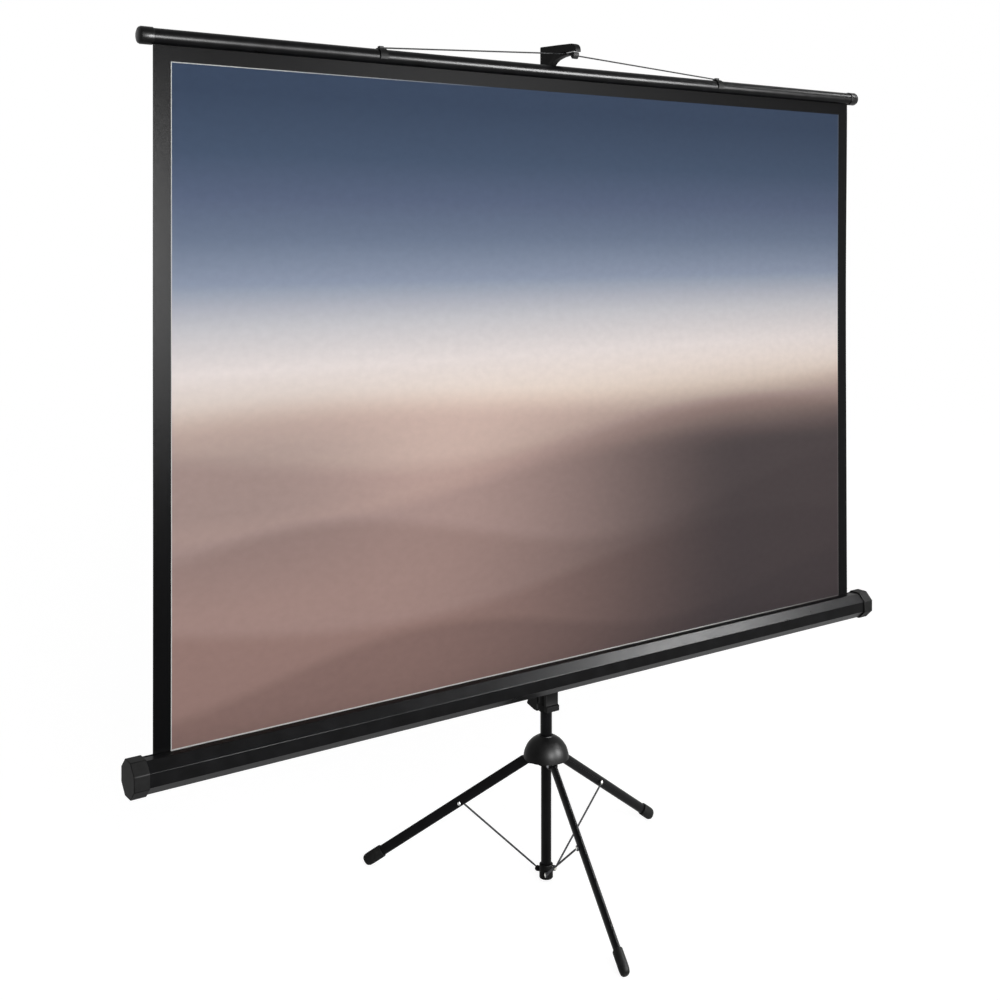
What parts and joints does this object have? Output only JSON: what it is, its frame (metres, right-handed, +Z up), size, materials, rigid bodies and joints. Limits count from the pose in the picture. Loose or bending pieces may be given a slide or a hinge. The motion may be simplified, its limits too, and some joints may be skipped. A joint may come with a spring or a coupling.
{
  "type": "projection_screen",
  "caption": "Portable tripod projection screen: matt white fabric with black borders, pulled up from an octagonal spring-roller case and hung from a hooked telescopic pole.",
  "frame": {"origin": "Middle of the floor space that the three feet and the screen cover, at floor level.", "axes": "+X along the screen to the right as the audience sees it, +Y away from the audience, +Z up."},
  "size_m": [1.865, 0.6766, 1.768],
  "materials": {
    "black_paint": "semi-gloss black enamel on steel tube",
    "black_moulding": "satin black moulded nylon and ABS",
    "rubber": "matt black rubber",
    "nylon": "natural nylon",
    "screen_fabric": "matt white projection vinyl with black masking borders",
    "zinc_plate": "bright zinc plate",
    "steel": "plain drawn steel"
  },
  "bodies": {
    "column": {"column_tube": "black_paint", "pole_bush": "nylon", "column_collar": "black_moulding", "latch_pin": "zinc_plate", "hub_core": "black_moulding", "hub_dome": "black_moulding", "hinge_pin_front": "steel", "hinge_pin_left": "steel", "hinge_pin_right": "steel"},
    "latch": {"pole_latch": "black_moulding"},
    "post": {"post_tube": "black_paint", "post_plug": "black_moulding", "stay_collar": "black_moulding"},
    "case": {"case_shell": "black_paint", "case_cap_left": "black_moulding", "case_cap_right": "black_moulding", "spring_rod": "steel", "roller_spring": "steel", "screen_fabric": "screen_fabric", "carriage": "black_moulding", "case_plate": "steel", "pivot_bolt": "zinc_plate", "lever_pin": "zinc_plate"},
    "roller": {"roller_tube": "steel", "roller_plug_left": "nylon", "roller_plug_right": "nylon", "wound_fabric": "screen_fabric"},
    "lever": {"release_lever": "black_moulding"},
    "pole": {"pole_tube": "zinc_plate", "pole_shoe": "nylon", "hook_head": "black_moulding", "hook_screw": "zinc_plate", "top_bar": "black_paint", "bar_cap_left": "black_moulding", "bar_cap_right": "black_moulding", "bail_wire": "steel", "bail_anchor_left": "black_moulding", "bail_anchor_right": "black_moulding"},
    "leg_front": {"leg_front": "black_paint", "foot_front": "rubber", "stay_rivet_front": "zinc_plate"},
    "stay_front": {"stay_front": "zinc_plate", "stay_pin_front": "zinc_plate"},
    "leg_left": {"leg_left": "black_paint", "foot_left": "rubber", "stay_rivet_left": "zinc_plate"},
    "stay_left": {"stay_left": "zinc_plate", "stay_pin_left": "zinc_plate"},
    "leg_right": {"leg_right": "black_paint", "foot_right": "rubber", "stay_rivet_right": "zinc_plate"},
    "stay_right": {"stay_right": "zinc_plate", "stay_pin_right": "zinc_plate"}
  },
  "joints": [
    {"name": "leg_fold_right", "type": "hinge", "parent": "column", "child": "leg_right", "pos_m": [0.03292, 0.05784, 0.256], "axis": [-0.2504, 0.9681, 0], "range_deg": [0, 52]},
    {"name": "stay_swing_right", "type": "hinge", "parent": "leg_right", "child": "stay_right", "pos_m": [0.18403, 0.08763, 0.14956], "axis": [0.2504, -0.9681, 0], "range_deg": [0, 97.61]},
    {"name": "leg_fold_left", "type": "hinge", "parent": "column", "child": "leg_left", "pos_m": [-0.02383, 0.07358, 0.256], "axis": [-0.7133, -0.7009, 0], "range_deg": [0, 52]},
    {"name": "stay_swing_left", "type": "hinge", "parent": "leg_left", "child": "stay_left", "pos_m": [-0.12518, 0.18956, 0.14956], "axis": [0.7133, 0.7009, 0], "range_deg": [0, 97.61]},
    {"name": "leg_fold_front", "type": "hinge", "parent": "column", "child": "leg_front", "pos_m": [-0.00909, 0.01657, 0.256], "axis": [0.9636, -0.2672, 0], "range_deg": [0, 52]},
    {"name": "stay_swing_front", "type": "hinge", "parent": "leg_front", "child": "stay_front", "pos_m": [-0.05885, -0.12919, 0.14956], "axis": [-0.9636, 0.2672, 0], "range_deg": [0, 97.61]},
    {"name": "post_slide", "type": "slide", "parent": "column", "child": "post", "axis": [0, 0, -1], "range_m": [0, 0.1616]},
    {"name": "case_slide", "type": "slide", "parent": "column", "child": "case", "axis": [0, 0, 1], "range_m": [-0.04, 0.25]},
    {"name": "pole_slide", "type": "slide", "parent": "case", "child": "pole", "axis": [0, 0, 1], "range_m": [-0.375, 0], "deforming": ["screen_fabric"]},
    {"name": "roller_turn", "type": "hinge", "parent": "case", "child": "roller", "pos_m": [0, -0.02734, 0.456], "axis": [1, 0, 0], "range_deg": [-1544, 0]},
    {"name": "lever_press", "type": "hinge", "parent": "case", "child": "lever", "pos_m": [0, 0.07433, 0.492], "axis": [1, 0, 0], "range_deg": [0, 12], "stiffness_Nm_per_rad": 1.5},
    {"name": "latch_press", "type": "hinge", "parent": "column", "child": "latch", "pos_m": [0, 0.07283, 1.221], "axis": [-1, 0, 0], "range_deg": [0, 12], "stiffness_Nm_per_rad": 0.3}
  ],
  "couplings": [
    {"joint": "leg_fold_left", "follows": "leg_fold_right", "ratio": 1},
    {"joint": "leg_fold_front", "follows": "leg_fold_right", "ratio": 1},
    {"joint": "post_slide", "follows": "leg_fold_right", "m_per_rad": 0.17799},
    {"joint": "stay_swing_front", "follows": "leg_fold_right", "ratio": 1.8762},
    {"joint": "stay_swing_left", "follows": "leg_fold_right", "ratio": 1.8762},
    {"joint": "stay_swing_right", "follows": "leg_fold_right", "ratio": 1.8762},
    {"joint": "roller_turn", "follows": "pole_slide", "rad_per_m": 71.813}
  ]
}
